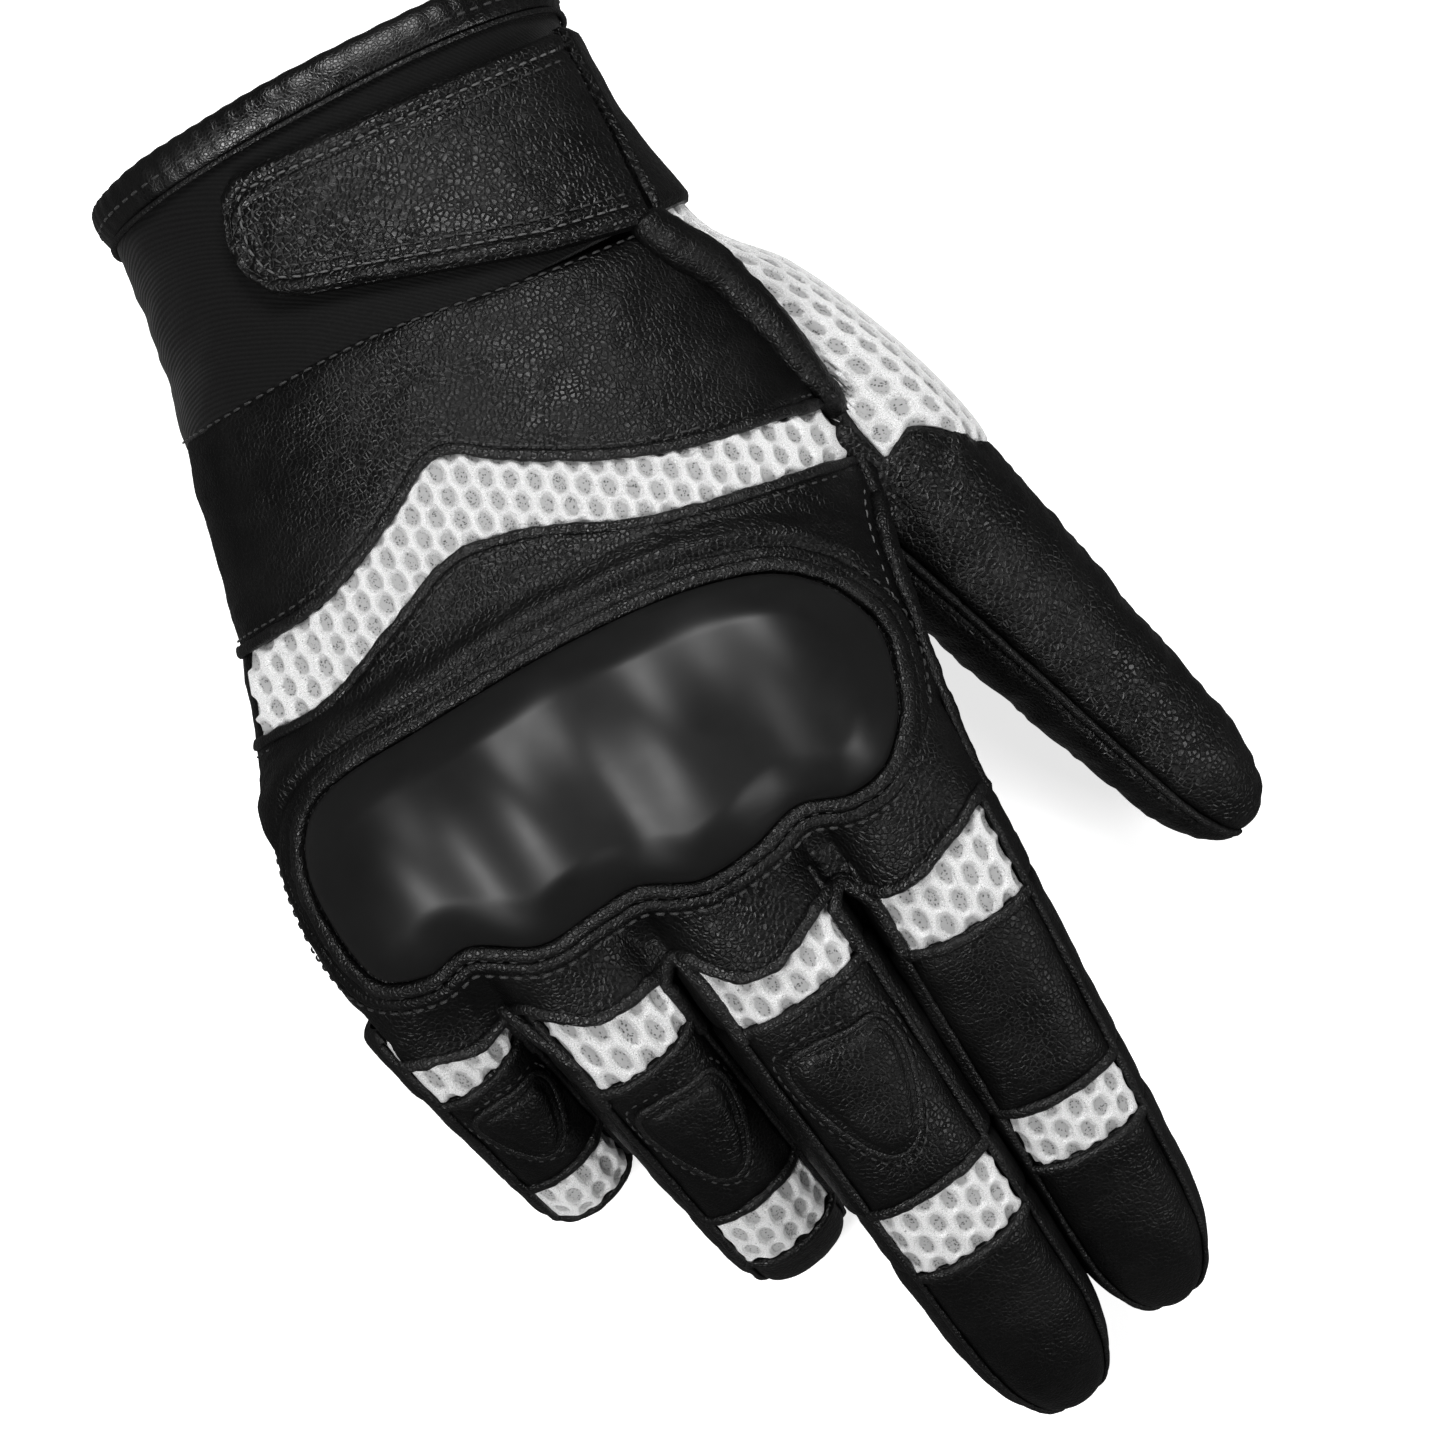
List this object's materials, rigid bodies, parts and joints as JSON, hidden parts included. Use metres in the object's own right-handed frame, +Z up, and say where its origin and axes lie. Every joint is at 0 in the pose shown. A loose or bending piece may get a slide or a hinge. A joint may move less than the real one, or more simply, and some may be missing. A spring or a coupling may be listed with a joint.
{
  "type": "riding glove",
  "caption": "Short-cuff leather riding glove for the right hand with a moulded knuckle guard, ventilated mesh bands and a wrist strap.",
  "frame": {"origin": "centre of the bounding box in X and Y, at the lowest face of the palm heel patch in Z", "axes": "+Y from the wrist opening to the fingers, +X towards the little finger, +Z up from the palm side through the back of the hand"},
  "size_m": [0.1464, 0.2482, 0.0863],
  "materials": {
    "black_leather": "satin",
    "palm_leather": "matte",
    "white_mesh": "matte",
    "guard_plastic": "satin",
    "foam": "matte",
    "cuff_twill": "matte",
    "hook_and_loop": "matte"
  },
  "bodies": {
    "palm": {"back_panel": "black_leather", "back_mesh": "white_mesh", "knuckle_panel": "black_leather", "knuckle_guard": "guard_plastic", "knuckle_foam": "foam", "guard_frame": "black_leather", "palm_panel": "palm_leather", "palm_heel_patch": "palm_leather", "side_panel": "black_leather", "thumb_gusset_mesh": "white_mesh", "cuff_fabric": "cuff_twill", "cuff_binding": "black_leather", "loop_patch": "hook_and_loop", "strap_root_tab": "black_leather", "thumb_base_fold": "black_leather", "index_base_mesh": "white_mesh", "index_base_crease": "palm_leather", "middle_base_mesh": "white_mesh", "middle_base_crease": "palm_leather", "ring_base_mesh": "white_mesh", "ring_base_crease": "palm_leather", "pinky_base_mesh": "white_mesh", "pinky_base_crease": "palm_leather"},
    "strap": {"strap": "black_leather", "hook_patch": "hook_and_loop"},
    "thumb": {"thumb_outer": "black_leather", "thumb_inner": "palm_leather", "thumb_tip_fold": "black_leather"},
    "thumb_end": {"thumb_tip": "black_leather"},
    "index": {"index_back": "black_leather", "index_front": "palm_leather", "index_sidewalls": "black_leather", "index_tip_mesh": "white_mesh", "index_tip_crease": "palm_leather"},
    "index_end": {"index_tip_back": "black_leather", "index_tip_front": "palm_leather"},
    "middle": {"middle_back": "black_leather", "middle_front": "palm_leather", "middle_sidewalls": "black_leather", "middle_tip_mesh": "white_mesh", "middle_tip_crease": "palm_leather", "middle_pad": "black_leather"},
    "middle_end": {"middle_tip_back": "black_leather", "middle_tip_front": "palm_leather"},
    "ring": {"ring_back": "black_leather", "ring_front": "palm_leather", "ring_sidewalls": "black_leather", "ring_tip_mesh": "white_mesh", "ring_tip_crease": "palm_leather", "ring_pad": "black_leather"},
    "ring_end": {"ring_tip_back": "black_leather", "ring_tip_front": "palm_leather"},
    "pinky": {"pinky_back": "black_leather", "pinky_front": "palm_leather", "pinky_sidewalls": "black_leather", "pinky_tip_mesh": "white_mesh", "pinky_tip_crease": "palm_leather", "pinky_pad": "black_leather"},
    "pinky_end": {"pinky_tip_back": "black_leather", "pinky_tip_front": "palm_leather"}
  },
  "joints": [
    {"name": "strap_open", "type": "hinge", "parent": "palm", "child": "strap", "pos_m": [-0.0273, -0.0893, 0.0522], "axis": [0, -0.9573, -0.2891], "range_deg": [0, 140]},
    {"name": "index_knuckle", "type": "hinge", "parent": "palm", "child": "index", "pos_m": [-0.0204, 0.03791, 0.05152], "axis": [-0.9997, -0.0262, 0], "range_deg": [-20, 45], "deforming": ["index_base_mesh", "index_base_crease"]},
    {"name": "index_mid_joint", "type": "hinge", "parent": "index", "child": "index_end", "pos_m": [-0.02146, 0.07813, 0.03294], "axis": [-0.9997, -0.0262, 0], "range_deg": [-25, 60], "deforming": ["index_tip_mesh", "index_tip_crease"]},
    {"name": "middle_knuckle", "type": "hinge", "parent": "palm", "child": "middle", "pos_m": [0.00914, 0.0366, 0.05407], "axis": [-0.9936, -0.1132, 0], "range_deg": [-20, 45], "deforming": ["middle_base_mesh", "middle_base_crease"]},
    {"name": "middle_mid_joint", "type": "hinge", "parent": "middle", "child": "middle_end", "pos_m": [0.00387, 0.08287, 0.03429], "axis": [-0.9936, -0.1132, 0], "range_deg": [-25, 60], "deforming": ["middle_tip_mesh", "middle_tip_crease"]},
    {"name": "ring_knuckle", "type": "hinge", "parent": "palm", "child": "ring", "pos_m": [0.03691, 0.03295, 0.05373], "axis": [-0.9816, -0.1908, 0], "range_deg": [-30, 30], "deforming": ["ring_base_mesh", "ring_base_crease"]},
    {"name": "ring_mid_joint", "type": "hinge", "parent": "ring", "child": "ring_end", "pos_m": [0.03035, 0.06668, 0.0255], "axis": [-0.9816, -0.1908, 0], "range_deg": [-45, 20], "deforming": ["ring_tip_mesh", "ring_tip_crease"]},
    {"name": "pinky_knuckle", "type": "hinge", "parent": "palm", "child": "pinky", "pos_m": [0.06159, 0.02409, 0.04959], "axis": [-0.9659, -0.2588, 0], "range_deg": [-18, 5], "deforming": ["pinky_base_mesh", "pinky_base_crease"]},
    {"name": "pinky_mid_joint", "type": "hinge", "parent": "pinky", "child": "pinky_end", "pos_m": [0.05521, 0.04793, 0.02766], "axis": [-0.9659, -0.2588, 0], "range_deg": [-45, 20], "deforming": ["pinky_tip_mesh", "pinky_tip_crease"]},
    {"name": "thumb_knuckle", "type": "hinge", "parent": "palm", "child": "thumb", "pos_m": [-0.04316, -0.02001, 0.03359], "axis": [-0.9511, -0.309, 0], "range_deg": [-6, 25], "deforming": ["thumb_base_fold"]},
    {"name": "thumb_mid_joint", "type": "hinge", "parent": "thumb", "child": "thumb_end", "pos_m": [-0.0559, 0.01919, 0.02325], "axis": [-0.9511, -0.309, 0], "range_deg": [-8, 40], "deforming": ["thumb_tip_fold"]}
  ]
}
